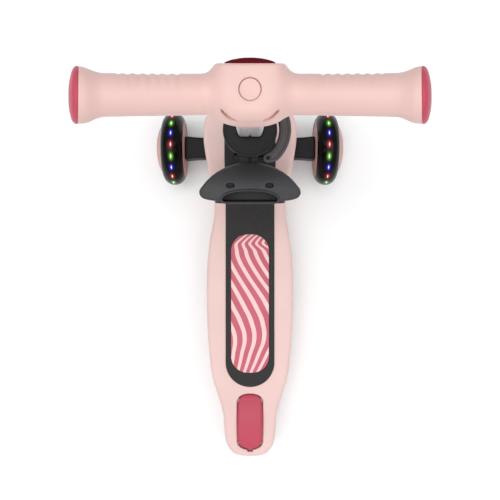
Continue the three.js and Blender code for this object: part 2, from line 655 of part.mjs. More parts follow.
function buildSeat() {
  addPiece("seat_shell", seatShell(), seatBlack, seatFrame);
  const plate = raiseRounded(roundedBox(-47, 47, 4, seat.length - 2, 16, 22), 0, seatPlate, 0.8, 1, 3);
  const upright = new THREE.Matrix4().makeBasis(
    new THREE.Vector3(-1, 0, 0), new THREE.Vector3(0, 0, 1), new THREE.Vector3(0, 1, 0));
  addPiece("seat_back_plate", plate.applyMatrix4(upright), seatBlack, seatFrame);
  for (const [name, side] of [["seat_screw_left", -1], ["seat_screw_right", 1]]) {
    const top = seat.length - 6;
    const screw = join(rodZ(2, top - 18, top - 1, 8), rodZ(4.2, top - 3 + gap, top, 12));
    addPiece(name, screw, steel, seatFrame).position.set(side * seatScrew.x, seatScrew.y, 0);
  }
  addPiece("seat_hinge_pin", rodX(3, -33.5, 33.5, seatHinge.y, seatHinge.z, 12), steel, seatFrame);
  addPiece("seat_bracket", seatBracket(), black);
  const screw = join(rodZ(2.5, 15, 30, 8), rodZ(4.4, 28 + gap, 31, 12));
  addPiece("seat_bracket_screw", screw.rotateX(-Math.PI / 2).translate(0, 0, seatBracketAt), steel, stem);
}

// ---------------------------------------------------------------- build

buildDeck();
buildTruck();
buildFrontWheel(-1, "left");
buildFrontWheel(1, "right");
buildRearWheel();
buildBrake();
buildStem();
buildHandlebar();
buildSeat();

export default scooter;
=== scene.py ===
import itertools
import math

import bpy
import numpy as np
from mathutils import Matrix, Vector


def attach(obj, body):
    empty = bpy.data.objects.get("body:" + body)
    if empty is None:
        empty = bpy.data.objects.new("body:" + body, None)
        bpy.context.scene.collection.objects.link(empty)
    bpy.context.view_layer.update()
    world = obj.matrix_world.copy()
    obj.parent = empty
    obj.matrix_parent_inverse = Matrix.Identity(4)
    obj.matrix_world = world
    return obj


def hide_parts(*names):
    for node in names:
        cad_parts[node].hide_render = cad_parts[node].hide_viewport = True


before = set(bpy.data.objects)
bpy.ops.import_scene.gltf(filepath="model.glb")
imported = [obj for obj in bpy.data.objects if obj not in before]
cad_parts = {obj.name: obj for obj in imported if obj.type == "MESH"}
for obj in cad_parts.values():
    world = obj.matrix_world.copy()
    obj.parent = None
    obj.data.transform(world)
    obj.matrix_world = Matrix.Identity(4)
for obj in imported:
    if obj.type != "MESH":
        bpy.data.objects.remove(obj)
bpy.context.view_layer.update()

# Shapes are drawn in millimetres, in the row frame or in one of the frames below, and become metres
# when their mesh is made.

MM = 0.001
RAKE = math.radians(6.3)  # how far the stem and the folded seat lean back
STEM_FOOT = (238, 100)  # y and z
SEAT_FOOT = (134.5, 151)


def raked(foot):
    return Matrix.Translation((0, foot[0] * MM, foot[1] * MM)) @ Matrix.Rotation(RAKE, 4, "X")


def on_raked(foot, y, z):
    """The y and z, in the raked frame that stands at foot, of a place in the row frame."""
    dy, dz = y - foot[0], z - foot[1]
    return dy * math.cos(RAKE) + dz * math.sin(RAKE), -dy * math.sin(RAKE) + dz * math.cos(RAKE)


ROW = Matrix.Identity(4)
STEM = raked(STEM_FOOT)  # z runs up the stem
SEAT = raked(SEAT_FOOT)  # z runs up the folded seat, y towards the stem
SPIN = Matrix.Rotation(math.pi / 2, 4, "Y")  # turns z into the row's x

FRONT_WHEEL_AT = (126, 227, 60)
FRONT_HUB_RADIUS = 46.7
REAR_AXLE = (-226, 40)  # y and z
DECK_TOP = 80


# ---------------------------------------------------------------- distance fields

def meet(a, b, r=0.0):
    """Where both are solid, with an outside edge of radius r."""
    if r == 0:
        return np.maximum(a, b)
    return np.minimum(np.maximum(a, b), -r) + np.hypot(np.maximum(a + r, 0), np.maximum(b + r, 0))


def fuse(a, b, r=0.0):
    """Both together, with an inside corner of radius r."""
    return -meet(-a, -b, r)


def cut(a, b, r=0.0):
    return meet(a, -b, r)


def slab(v, low, high):
    return np.maximum(low - v, v - high)


def rect(x, y, x0, x1, y0, y1, r=0.0):
    qx = np.abs(x - (x0 + x1) / 2) - (x1 - x0) / 2 + r
    qy = np.abs(y - (y0 + y1) / 2) - (y1 - y0) / 2 + r
    return np.hypot(np.maximum(qx, 0), np.maximum(qy, 0)) + np.minimum(np.maximum(qx, qy), 0) - r


def polygon(u, v, corners):
    nearest = np.full(np.broadcast(u, v).shape, 1e9)
    inside = np.zeros(nearest.shape, bool)
    corners = np.asarray(corners, float)
    for (x0, y0), (x1, y1) in zip(corners, np.roll(corners, -1, 0)):
        ex, ey = x1 - x0, y1 - y0
        if ex == ey == 0:
            continue
        t = np.clip(((u - x0) * ex + (v - y0) * ey) / (ex * ex + ey * ey), 0, 1)
        nearest = np.minimum(nearest, (u - x0 - t * ex) ** 2 + (v - y0 - t * ey) ** 2)
        if ey != 0:
            inside ^= ((y0 > v) != (y1 > v)) & (u < ex * (v - y0) / ey + x0)
    return np.where(inside, -np.sqrt(nearest), np.sqrt(nearest))


def capsule(p, a, b, r):
    """A rod with round ends between points a and b; p is the three coordinates."""
    a, b = np.array(a, float), np.array(b, float)
    e = b - a
    t = np.clip(sum((p[i] - a[i]) * e[i] for i in range(3)) / (e @ e), 0, 1)
    return np.sqrt(sum((p[i] - a[i] - t * e[i]) ** 2 for i in range(3))) - r


def surface(field, low, high, step):
    """The vertices and faces where field is zero, drawn back onto it."""
    axes = [np.arange(a, b + step, step) for a, b in zip(low, high)]
    shape = tuple(len(a) for a in axes)
    d = np.broadcast_to(field(*np.meshgrid(*axes, indexing="ij", sparse=True)), shape)
    inside = d < 0
    part = lambda *c: tuple(slice(i, n - 1 + i) for i, n in zip(c, shape))
    corners = list(itertools.product((0, 1), repeat=3))
    count = sum(inside[part(*c)].astype(np.int8) for c in corners)
    mixed = (count > 0) & (count < 8)
    cells = np.argwhere(mixed)
    index = np.full(mixed.shape, -1, np.int64)
    index[mixed] = np.arange(len(cells))
    total = np.zeros((len(cells), 3))
    crossings = np.zeros(len(cells))
    for a, b in itertools.combinations(corners, 2):
        if sum(abs(i - j) for i, j in zip(a, b)) != 1:
            continue
        da, db = (d[tuple((cells + c).T)] for c in (a, b))
        crosses = (da < 0) != (db < 0)
        t = np.where(crosses, da / np.where(crosses, da - db, 1), 0)
        total += crosses[:, None] * (np.array(a) + t[:, None] * (np.array(b) - a))
        crossings += crosses
    points = np.array([a[0] for a in axes]) + (cells + total / crossings[:, None]) * step
    nudge = 0.05 * step
    for _ in range(2):
        value = field(*points.T)
        slope = np.stack([(field(*(points + nudge * e).T) - value) / nudge for e in np.eye(3)], 1)
        size = np.maximum((slope ** 2).sum(1), 0.2)
        points -= np.clip(value, -step, step)[:, None] * slope / size[:, None]
    faces = []
    for a in range(3):
        b, c = (a + 1) % 3, (a + 2) % 3
        one, two = np.moveaxis(inside, a, 0)[:-1], np.moveaxis(inside, a, 0)[1:]
        edges = np.argwhere(np.moveaxis(one != two, 0, a))
        eb, ec = edges[:, b], edges[:, c]
        edges = edges[(eb > 0) & (ec > 0) & (eb < shape[b] - 1) & (ec < shape[c] - 1)]
        eb, ec = np.eye(3, dtype=int)[b], np.eye(3, dtype=int)[c]
        quad = np.stack([index[tuple((edges - o).T)] for o in (eb + ec, ec, 0 * eb, eb)], 1)
        outwards = inside[tuple(edges.T)]
        faces.append(np.where(outwards[:, None], quad, quad[:, ::-1]))
    return points, np.concatenate(faces)


# ---------------------------------------------------------------- outlines and turned shapes

def soften(points, cuts, steps=5, closed=False):
    """The same line with its corners rounded; cuts is how far from each corner the rounding starts."""
    pts = [np.array(p, float) for p in points]
    n = len(pts)
    if not hasattr(cuts, "__len__"):
        cuts = [cuts] * n
    out = []
    for i, p in enumerate(pts):
        if not closed and i in (0, n - 1) or cuts[i] == 0:
            out.append(p)
            continue
        before, after = pts[i - 1] - p, pts[(i + 1) % n] - p
        lb, la = np.linalg.norm(before), np.linalg.norm(after)
        c = min(cuts[i], 0.49 * lb, 0.49 * la)
        start, end = p + before * c / lb, p + after * c / la
        for k in range(steps + 1):
            t = k / steps
            out.append(start * (1 - t) ** 2 + p * 2 * t * (1 - t) + end * t * t)
    return np.array(out)


def spline(points, steps):
    """A Catmull-Rom line through the points."""
    p = np.array(points, float)
    p = np.vstack([p[:1], p, p[-1:]])
    out = []
    for i in range(1, len(p) - 2):
        for k in range(steps):
            t = k / steps
            out.append(0.5 * (2 * p[i] + (p[i + 1] - p[i - 1]) * t
                              + (2 * p[i - 1] - 5 * p[i] + 4 * p[i + 1] - p[i + 2]) * t * t
                              + (3 * p[i] - p[i - 1] - 3 * p[i + 1] + p[i + 2]) * t ** 3))
    return np.array(out + [p[-2]])


def bezier(points, steps):
    a, b, c, d = (np.array(p, float) for p in points)
    t = np.linspace(0, 1, steps + 1)[:, None]
    return a * (1 - t) ** 3 + 3 * b * t * (1 - t) ** 2 + 3 * c * t * t * (1 - t) + d * t ** 3


def quadratics(start, *pairs, steps=8):
    """A line of quadratic curves; each pair is a control point and an end point."""
    out, a = [start], np.array(start, float)
    for control, end in pairs:
        b, c = np.array(control, float), np.array(end, float)
        out += [a * (1 - t) ** 2 + b * 2 * t * (1 - t) + c * t * t for t in np.linspace(0, 1, steps + 1)[1:]]
        a = c
    return np.array(out)


def arc(cx, cy, r, start, end, steps):
    angles = np.radians(np.linspace(start, end, steps + 1))
    return np.stack([cx + r * np.cos(angles), cy + r * np.sin(angles)], 1)


def turned(profile, segments=96, closed=False):
    """A profile of radius and height turned about z, walked with its solid on the left-hand side."""
    profile = np.asarray(profile, float)
    angles = np.linspace(0, 2 * math.pi, segments, endpoint=False)
    points, rings = [], []
    for r, h in profile:
        if r < 1e-6:
            rings.append([len(points)] * segments)
            points.append((0, 0, h))
        else:
            rings.append(list(range(len(points), len(points) + segments)))
            points += [(r * math.cos(a), r * math.sin(a), h) for a in angles]
    faces = []
    pairs = list(zip(rings, rings[1:])) + ([(rings[-1], rings[0])] if closed else [])
    for low, high in pairs:
        for i in range(segments):
            j = (i + 1) % segments
            loop = [low[i], low[j], high[j], high[i]]
            face = [v for k, v in enumerate(loop) if v != loop[k - 1]]
            if len(face) > 2:
                faces.append(face)
    return np.array(points), faces


def raised(outline, z0, z1, rim=0.6, steps=3):
    """An outline, walked anticlockwise, raised from z0 to z1 with rounded rims."""
    outline = np.asarray(outline, float)
    before, after = outline - np.roll(outline, 1, 0), np.roll(outline, -1, 0) - outline
    unit = lambda v: v / np.maximum(np.linalg.norm(v, axis=1, keepdims=True), 1e-9)
    tangent = unit(unit(before) + unit(after))
    normal = np.stack([tangent[:, 1], -tangent[:, 0]], 1)
    levels = [(rim * (1 - math.sin(a)), z0 + rim * (1 - math.cos(a)))
              for a in np.linspace(0, math.pi / 2, steps + 1)]
    levels += [(inset, z1 - (z - z0)) for inset, z in reversed(levels)]
    n = len(outline)
    points = np.concatenate([np.column_stack([outline - normal * i, np.full(n, z)]) for i, z in levels])
    faces = [list(range(n))[::-1], [n * (len(levels) - 1) + i for i in range(n)]]
    for k in range(len(levels) - 1):
        for i in range(n):
            j = (i + 1) % n
            faces.append([k * n + i, k * n + j, (k + 1) * n + j, (k + 1) * n + i])
    return points, faces


def coil(radius, wire, height, turns, around=14):
    """A closed-ended wire coil standing on z = 0."""
    steps = 40 * turns
    points = []
    for k in range(steps + 1):
        t = k / steps
        a = 2 * math.pi * turns * t
        centre = np.array([radius * math.cos(a), radius * math.sin(a), wire + (height - 2 * wire) * t])
        out = np.array([math.cos(a), math.sin(a), 0])
        for b in np.linspace(0, 2 * math.pi, around, endpoint=False):
            points.append(centre + wire * (math.cos(b) * out + math.sin(b) * np.array([0, 0, 1])))
    faces = [list(range(around)), list(range(steps * around, (steps + 1) * around))[::-1]]
    for k in range(steps):
        for i in range(around):
            j = (i + 1) % around
            faces.append([k * around + j, k * around + i, (k + 1) * around + i, (k + 1) * around + j])
    return np.array(points), faces


# ---------------------------------------------------------------- materials

def srgb(r, g, b):
    channel = lambda c: c / 255 / 12.92 if c <= 10 else ((c / 255 + 0.055) / 1.055) ** 2.4
    return (channel(r), channel(g), channel(b), 1)


class Graph:
    """A material's nodes, written as expressions."""

    def __init__(self, name):
        self.material = bpy.data.materials.new(name)
        self.material.use_nodes = True
        self.tree = self.material.node_tree
        self.shader = self.tree.nodes["Principled BSDF"]
        self.place = self.add("ShaderNodeTexCoord").outputs["Object"]

    def add(self, kind, inputs=(), **settings):
        node = self.tree.nodes.new(kind)
        for key, value in settings.items():
            setattr(node, key, value)
        for key, value in dict(inputs).items():
            self.put(node.inputs[key], value)
        return node

    def put(self, socket, value):
        if isinstance(value, bpy.types.NodeSocket):
            self.tree.links.new(value, socket)
        else:
            socket.default_value = value

    def math(self, operation, a, b=0.0):
        node = self.add("ShaderNodeMath", operation=operation)
        for socket, value in zip(node.inputs, (a, b)):
            self.put(socket, value)
        return node.outputs[0]

    def noise(self, scale, detail=2.0, roughness=0.5, stretch=None):
        vector = self.place
        if stretch:
            mapping = self.add("ShaderNodeMapping", {"Vector": self.place, "Scale": stretch})
            vector = mapping.outputs[0]
        return self.add("ShaderNodeTexNoise", {
            "Vector": vector, "Scale": scale, "Detail": detail, "Roughness": roughness}).outputs["Fac"]

    def cells(self, scale):
        return self.add("ShaderNodeTexVoronoi", {"Vector": self.place, "Scale": scale}).outputs["Distance"]

    def curve(self, value, points):
        """A smooth curve through points, whose first and last x are 0 and 1."""
        node = self.add("ShaderNodeFloatCurve", {"Value": value})
        line = node.mapping.curves[0]
        for _ in points[2:]:
            line.points.new(0.5, 0.5)
        for made, place in zip(line.points, points):
            made.location = place
        node.mapping.update()
        return node.outputs[0]

    def spread(self, value, low, high, to_low, to_high):
        return self.add("ShaderNodeMapRange", {
            "Value": value, "From Min": low, "From Max": high,
            "To Min": to_low, "To Max": to_high}).outputs[0]

    def mix(self, factor, a, b):
        node = self.add("ShaderNodeMix", data_type="RGBA")
        for name, value in (("Factor", factor), ("A", a), ("B", b)):
            socket = [s for s in node.inputs if s.name == name and s.enabled][0]
            self.put(socket, value)
        return [s for s in node.outputs if s.enabled][0]

    def bump(self, height, distance, strength=1.0, under=None):
        node = self.add("ShaderNodeBump", {"Height": height, "Distance": distance, "Strength": strength})
        if under:
            self.put(node.inputs["Normal"], under)
        return node.outputs[0]

    def set(self, **sockets):
        for key, value in sockets.items():
            self.put(self.shader.inputs[key.replace("_", " ")], value)
        return self.material


def shade(color, factor):
    return tuple(c * factor for c in color[:3]) + (1,)


def moulded(name, color, rough, grain=0.00004, grain_scale=1700, vary=0.05, coat=0.0, specular=0.5):
    """Injection-moulded plastic: a fine spark-eroded grain, slow colour drift and faint scuffs."""
    g = Graph(name)
    drift = g.spread(g.noise(9, 3), 0.3, 0.7, 0, 1)
    scuff = g.noise(60, 4, 0.65, (1, 0.22, 1))
    scuffed = g.spread(scuff, 0.62, 0.8, 0, 1)
    base = g.mix(drift, shade(color, 1 - vary), shade(color, 1 + vary / 2))
    worn = g.mix(g.math("MULTIPLY", scuffed, 0.1), base, shade(color, 0.85))
    roughness = g.math("ADD", g.spread(g.noise(420, 2), 0.3, 0.7, rough - 0.03, rough + 0.04),
                       g.math("MULTIPLY", scuffed, 0.1))
    wave = g.bump(g.noise(55, 1), 0.00006, 0.5)
    normal = g.bump(g.noise(grain_scale, 2), grain, 0.8, wave)
    g.set(Base_Color=worn, Roughness=roughness, Normal=normal, Coat_Weight=coat, Coat_Roughness=0.25)
    g.shader.inputs["Specular IOR Level"].default_value = specular
    return g.material


def metal(name, color, rough, stretch):
    """Plated or anodised metal with fine marks along one direction."""
    g = Graph(name)
    lines = g.noise(300, 3, 0.6, stretch)
    patch = g.noise(30, 2)
    base = g.mix(patch, shade(color, 0.86), shade(color, 1.08))
    g.set(Base_Color=base, Metallic=1.0, Roughness=g.spread(lines, 0.3, 0.7, rough - 0.07, rough + 0.09),
          Normal=g.bump(lines, 0.00003, 0.6))
    return g.material


def rubbery(name, color, rough, pebble_scale, pebble):
    """Textured rubber: small raised pebbles, random lighter dust patches, and painted shade in the hollows
    between the pebbles.
    """
    g = Graph(name)
    pebbles = g.cells(pebble_scale)
    dust = g.spread(g.noise(26, 4, 0.6), 0.45, 0.75, 0, 0.4)
    low = g.spread(pebbles, 0.2, 0.7, 0, 1)
    base = g.mix(dust, shade(color, 0.92), shade(color, 1.2))
    # painted shade: darker in the hollows between the pebbles
    base = g.mix(g.math("MULTIPLY", low, 0.35), base, shade(color, 0.6))
    g.set(Base_Color=base, Roughness=g.spread(g.noise(300), 0.3, 0.7, rough - 0.05, rough + 0.05),
          Normal=g.bump(g.math("MULTIPLY", pebbles, -1.0), pebble, 0.9, g.bump(g.noise(900), 0.00004, 0.6)))
    return g.material


def wave_print(name):
    """The deck insert: two pinks printed as stripes that lean, sway and bunch along its length."""
    g = Graph(name)
    split = g.add("ShaderNodeSeparateXYZ", {"Vector": g.place})
    x = g.math("MULTIPLY", split.outputs["X"], 1000.0)
    along = g.spread(split.outputs["Y"], -0.145, 0.085, 0, 1)
    lean = g.math("MULTIPLY", g.curve(along, [
        (0, 0.64), (0.14, 0.76), (0.26, 0.84), (0.36, 0.78), (0.48, 0.62), (0.61, 0.42), (0.75, 0.20),
        (0.80, 0.135), (0.845, 0.105), (0.88, 0.12), (0.915, 0.18), (0.955, 0.32), (1, 0.52)]), 80.0)
    spacing = g.math("MULTIPLY", g.curve(along, [
        (0, 0.53), (0.26, 0.80), (0.48, 0.95), (0.67, 0.86), (0.86, 0.76), (0.94, 0.52), (1, 0.45)]), 20.0)
    phase = g.math("DIVIDE", g.math("ADD", g.math("SUBTRACT", x, lean), 64.0), spacing)
    wave = g.math("SINE", g.math("MULTIPLY", phase, 2 * math.pi))
    stripe = g.spread(wave, 0.16, 0.3, 0, 1)
    mottle = g.noise(40, 3)
    pale = g.mix(mottle, srgb(250, 203, 200), srgb(254, 212, 208))
    deep = g.mix(mottle, srgb(196, 88, 110), srgb(208, 102, 122))
    grit = g.noise(1500, 2)
    g.set(Base_Color=g.mix(stripe, deep, pale), Roughness=g.spread(grit, 0.3, 0.7, 0.5, 0.66),
          Normal=g.bump(g.noise(1100, 3), 0.00008, 0.8, g.bump(stripe, 0.00003, 0.5)))
    return g.material


LAMPS = 20  # round each front tyre
LAMP_PHASE = math.radians(1.5)
LAMP_REACH = 58  # radius that they are drawn at


def smoked_tyre(name, hand=0):
    """Smoked polyurethane. With a hand of 1 or -1, coloured lamps glow through the middle of the tread."""
    g = Graph(name)
    swirl = g.noise(70, 3)
    base = g.mix(swirl, srgb(9, 7, 8), srgb(17, 14, 15))
    flow = g.noise(900, 2)
    g.set(Base_Color=base, Roughness=g.spread(g.noise(240, 3), 0.3, 0.7, 0.16, 0.26),
          Normal=g.bump(flow, 0.00002, 0.5))
    g.shader.inputs["Specular IOR Level"].default_value = 0.14
    if not hand:
        g.set(Roughness=g.spread(g.noise(240, 3), 0.3, 0.7, 0.34, 0.48))
        return g.material
    split = g.add("ShaderNodeSeparateXYZ", {"Vector": g.place})
    x, y, z = (split.outputs[k] for k in "XYZ")
    back = g.math("MULTIPLY", y, -hand)
    up = g.math("MULTIPLY", x, -1.0)
    turn = g.math("SUBTRACT", g.math("ARCTAN2", back, up), LAMP_PHASE)
    count = g.math("DIVIDE", turn, 2 * math.pi / LAMPS)
    nearest = g.math("ROUND", count)
    along = g.math("MULTIPLY", g.math("SUBTRACT", count, nearest), 2 * math.pi / LAMPS * LAMP_REACH)
    side = g.math("MULTIPLY", z, 1000.0)
    square = lambda v, width: g.math("POWER", g.math("ABSOLUTE", g.math("DIVIDE", v, width)), 2.0)

    def spot(length, width):
        away = g.math("ADD", square(along, length), square(side, width))
        return g.math("EXPONENT", g.math("MULTIPLY", away, -1.0))

    ramp = g.add("ShaderNodeValToRGB")
    ramp.color_ramp.interpolation = "CONSTANT"
    third = g.math("DIVIDE", g.math("FLOORED_MODULO", nearest, 3.0), 3.0)
    g.put(ramp.inputs[0], g.math("ADD", third, 0.02))
    elements = ramp.color_ramp.elements
    elements[0].position, elements[0].color = 0, (0.85, 0.01, 0.03, 1)
    elements[1].position, elements[1].color = 0.33, (0.22, 0.9, 0.02, 1)
    last = elements.new(0.66)
    last.color = (0.06, 0.04, 1, 1)
    outer = g.math("LESS_THAN", g.math("ABSOLUTE", side), 11.0)
    halo = g.math("MULTIPLY", g.math("MULTIPLY", spot(4.7, 2.7), 0.85), outer)
    core = spot(2.9, 0.75)
    glow = g.mix(core, ramp.outputs["Color"], (1, 0.96, 0.95, 1))
    g.set(Emission_Color=glow, Emission_Strength=g.math("ADD", halo, g.math("MULTIPLY", core, 1.1)))
    return g.material


PINK = moulded("pink_plastic", srgb(237, 203, 197), 0.45, specular=0.35)
PINK_BAR = moulded("pink_bar_plastic", srgb(231, 193, 186), 0.42, specular=0.35)
# The front wheels' pink is partly a dustier pink of their own and partly painted shade: darker because their
# hubs and domes face sideways, away from the light.
PINK_WHEEL_SHADED = moulded("pink_wheel_painted_shade", srgb(208, 164, 157), 0.45, specular=0.25)
MAGENTA = moulded("magenta_plastic", srgb(196, 75, 95), 0.42, specular=0.3)
LENS = moulded("lens_plastic", srgb(108, 26, 36), 0.5, grain=0.00001, specular=0.0)
BLACK = moulded("black_nylon", srgb(23, 22, 23), 0.5, grain=0.00006, vary=0.12, specular=0.25)
LEVER = moulded("lever_nylon", srgb(74, 68, 69), 0.5, grain=0.00006, vary=0.1, specular=0.35)
SEAT_SKIN = moulded(
    "seat_plastic", srgb(60, 58, 60), 0.5, grain=0.00009, grain_scale=1100, vary=0.08, specular=0.4)
GRIP = rubbery("grip_rubber", srgb(52, 50, 49), 0.85, 900, 0.0002)
BUSH = rubbery("bush_rubber", srgb(46, 46, 46), 0.7, 1500, 0.00005)
WAVES = wave_print("insert_print")
TYRES = {"left": smoked_tyre("tyre_lit_left", -1), "right": smoked_tyre("tyre_lit_right", 1)}
REAR_TYRE = smoked_tyre("tyre_rear")
TUBE = metal("tube_aluminium", srgb(205, 203, 204), 0.45, (1, 1, 0.02))
STEEL = metal("plated_steel", srgb(190, 190, 192), 0.28, (1, 1, 1))
# Near-black steel as painted shade: the fasteners behind the clamp and in the seat's recesses are darkened
# to read as the shadow that lies over them.
SHADE_BLACK_STEEL = metal("steel_painted_shade_black", srgb(38, 37, 38), 0.4, (1, 1, 1))
STRIP = moulded("light_strip", srgb(222, 224, 236), 0.3, coat=0.3)


# ---------------------------------------------------------------- making pieces

def piece(name, shape, material, body, nodes, place=ROW, crease=None):
    points, faces = shape
    mesh = bpy.data.meshes.new(name)
    mesh.from_pydata((np.asarray(points) * MM).tolist(), [], [list(map(int, f)) for f in faces])
    mesh.validate()
    mesh.shade_smooth()
    if crease:
        mesh.set_sharp_from_angle(angle=math.radians(crease))
    mesh.materials.append(material)
    made = bpy.data.objects.new(name, mesh)
    bpy.context.scene.collection.objects.link(made)
    made.matrix_world = place
    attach(made, body)
    if nodes:
        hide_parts(*nodes)
    return made


# ---------------------------------------------------------------- deck

DECK_SIDE = spline([
    [0, -287], [17, -284.5], [30, -276], [39, -260], [42.6, -238], [44.5, -212], [52, -185], [62, -152],
    [68.3, -100], [71.3, -40], [71, 20], [66.5, 72], [59.5, 112], [59.5, 140], [65, 180], [71.5, 218],
    [73, 245], [68, 268], [54, 280], [28, 284], [0, 284.5]], 5)
DECK_PLAN = np.vstack([DECK_SIDE, DECK_SIDE[-2:0:-1] * [-1, 1]])
FLANGE_AT = 35.5  # the column's flange, up the stem
COLUMN_SPACE = 22.8  # radius of the holes that the column stands in


def pod_top(y):
    """The front pod's top lies square to the stem, just under the flange."""
    return STEM_FOOT[1] + FLANGE_AT / math.cos(RAKE) + (y - STEM_FOOT[0]) * math.tan(RAKE) - 0.3


RAMP = bezier([(122, DECK_TOP), (160, DECK_TOP), (168, pod_top(168)), (206, pod_top(206))], 18)
NOSE = bezier([(262, pod_top(262)), (276, pod_top(276)), (285.5, 122), (285.5, 92)], 12)
DECK_SECTION = np.vstack([
    [[-266, DECK_TOP]], RAMP, NOSE,
    soften([(278, 62), (262, 50), (184, 50), (176, 44), (-186, 44), (-204, 28), (-252, 28), (-268, 44),
            (-288, 54), (-288, 66), (-281, 76)], 5)])
POCKETS = [(-128, 52), (-74, 58), (-20, 60), (34, 58), (88, 50)]


BRAKE_HALF = 18.7
BRAKE_AHEAD, BRAKE_BEHIND = (-191, 11.7), (-256.5, 12.8)  # each oval end's middle and reach
BRAKE_FRONT, BRAKE_REAR = -179.3, -269.3


def brake_outline(front=0.0, rear=0.0, sides=0.0):
    """The foot brake's plan, straight sides and oval ends, grown by so much at each end and at the sides."""
    half, turn = BRAKE_HALF + sides, np.linspace(0, math.pi, 19)
    (y0, reach0), (y1, reach1) = BRAKE_AHEAD, BRAKE_BEHIND
    ahead = [(half * math.cos(a), y0 + (reach0 + front) * math.sin(a)) for a in turn]
    behind = [(half * math.cos(a), y1 - (reach1 + rear) * math.sin(a)) for a in turn[::-1]]
    return np.array(ahead + behind)


def wheel_opening(x, y, z):
    """Over the rear wheel: an opening round the brake in the skin, and a wider box below it."""
    top = np.minimum(polygon(x, y, brake_outline(0.9, 2.4, 2.6)), rect(x, y, -5, 5, -274.6, -262, 1.5))
    below = np.maximum(rect(x, y, -21.5, 21.5, -274, -177, 4), z - 66)
    return fuse(top, below)


def deck(x, y, z):
    body = meet(polygon(x, y, DECK_PLAN), polygon(y, z, DECK_SECTION), 6.5)
    bay = np.maximum(rect(x, y, -58, 58, 190, 268, 6), z - 98)
    arms = np.maximum(np.abs(x) - 90, rect(y, z, 190, 264, 0, 93, 8))
    body = cut(body, fuse(bay, arms), 2)
    body = cut(body, wheel_opening(x, y, z), 1.8)
    for middle, half in POCKETS:
        body = cut(body, np.maximum(rect(x, y, -half, half, middle - 23, middle + 23, 9), z - 75), 1.6)
    for side in (-1, 1):
        well = np.maximum(np.hypot(y - REAR_AXLE[0], z - REAR_AXLE[1]) - 9, 36 - side * x)
        body = cut(body, well, 1.5)
    v, w = on_raked(STEM_FOOT, y, z)
    return cut(body, np.maximum(np.hypot(x, v) - COLUMN_SPACE, 13.7 - w), 0.6)


def build_deck():
    shape = surface(deck, (-75, -290, 26), (75, 288, 142), 1.6)
    piece("deck_moulding", shape, PINK, "deck", ["deck_shell"])

    mat_line = np.vstack([[[-200, DECK_TOP]], RAMP, [[262, pod_top(262)]]]) + [0, 0.3]
    mat_section = np.vstack([mat_line, mat_line[::-1] + [0, 2]])

    def mat(x, y, z):
        tail = np.where(y < -127, np.hypot(x, y + 127) - 40, -1e3)
        plan = np.maximum(rect(x, y, -40, 40, -167, 262, 22), tail)
        pad = meet(plan, polygon(y, z, mat_section), 0.8)
        pad = cut(pad, rect(x, y, -31.3, 31.3, -143.8, 83.8, 27.3), 0.5)
        return cut(pad, np.hypot(x, on_raked(STEM_FOOT, y, z)[0]) - 31.3, 0.5)

    piece("deck_grip_pad", surface(mat, (-42, -169, 79), (42, 264, 142), 0.95), GRIP, "deck",
          ["grip_mat"])

    x0, x1, y0, y1, r = -31, 31, -143.5, 83.5, 27
    outline = np.vstack([arc(x1 - r, y0 + r, r, -90, 0, 24), arc(x1 - r, y1 - r, r, 0, 90, 24),
                         arc(x0 + r, y1 - r, r, 90, 180, 24), arc(x0 + r, y0 + r, r, 180, 270, 24)])
    piece("deck_wave_insert", raised(outline, DECK_TOP + 0.3, DECK_TOP + 2.3, 0.7), WAVES, "deck",
          ["patterned_insert"], crease=50)


# ---------------------------------------------------------------- steering truck

def truck(x, y, z):
    v = y - FRONT_WHEEL_AT[1]
    ax = np.abs(x)
    half = np.interp(ax, [0, 28, 40, 66, 88, 107], [24, 24, 18.5, 17, 17.5, 19.3])
    top = np.interp(ax, [0, 58, 75, 107], [78, 78, 75, 78])
    return meet(meet((np.abs(v) - half) * 0.97, slab(z, 46, top), 4), ax - 107, 2.5)


def build_truck():
    piece("truck_cross_beam", surface(truck, (-109, 201, 44), (109, 253, 80), 1.1), BLACK, "truck",
          ["truck_beam"])
    for side, x in (("left", -34), ("right", 34)):
        place = Matrix.Translation((x * MM, 0.227, 0.0783))
        piece(f"truck_spring_{side}", coil(6.5, 1.3, 19.4, 4), STEEL, "deck",
              [f"centring_spring_{side}"], place)


# ---------------------------------------------------------------- wheels

def crown(centre, radius, half_angle, steps):
    angles = np.radians(np.linspace(-half_angle, half_angle, steps + 1))
    return [(centre + radius * math.cos(a), radius * math.sin(a)) for a in angles]


def bearing_shape():
    race = soften([(4.3, 0), (6.2, 0), (6.2, 0.9), (9, 0.9), (9, 0), (11, 0), (11, 7), (9, 7), (9, 6.1),
                   (6.2, 6.1), (6.2, 7), (4.3, 7)], 0.35, 2, True)
    return turned(race, 48, True)


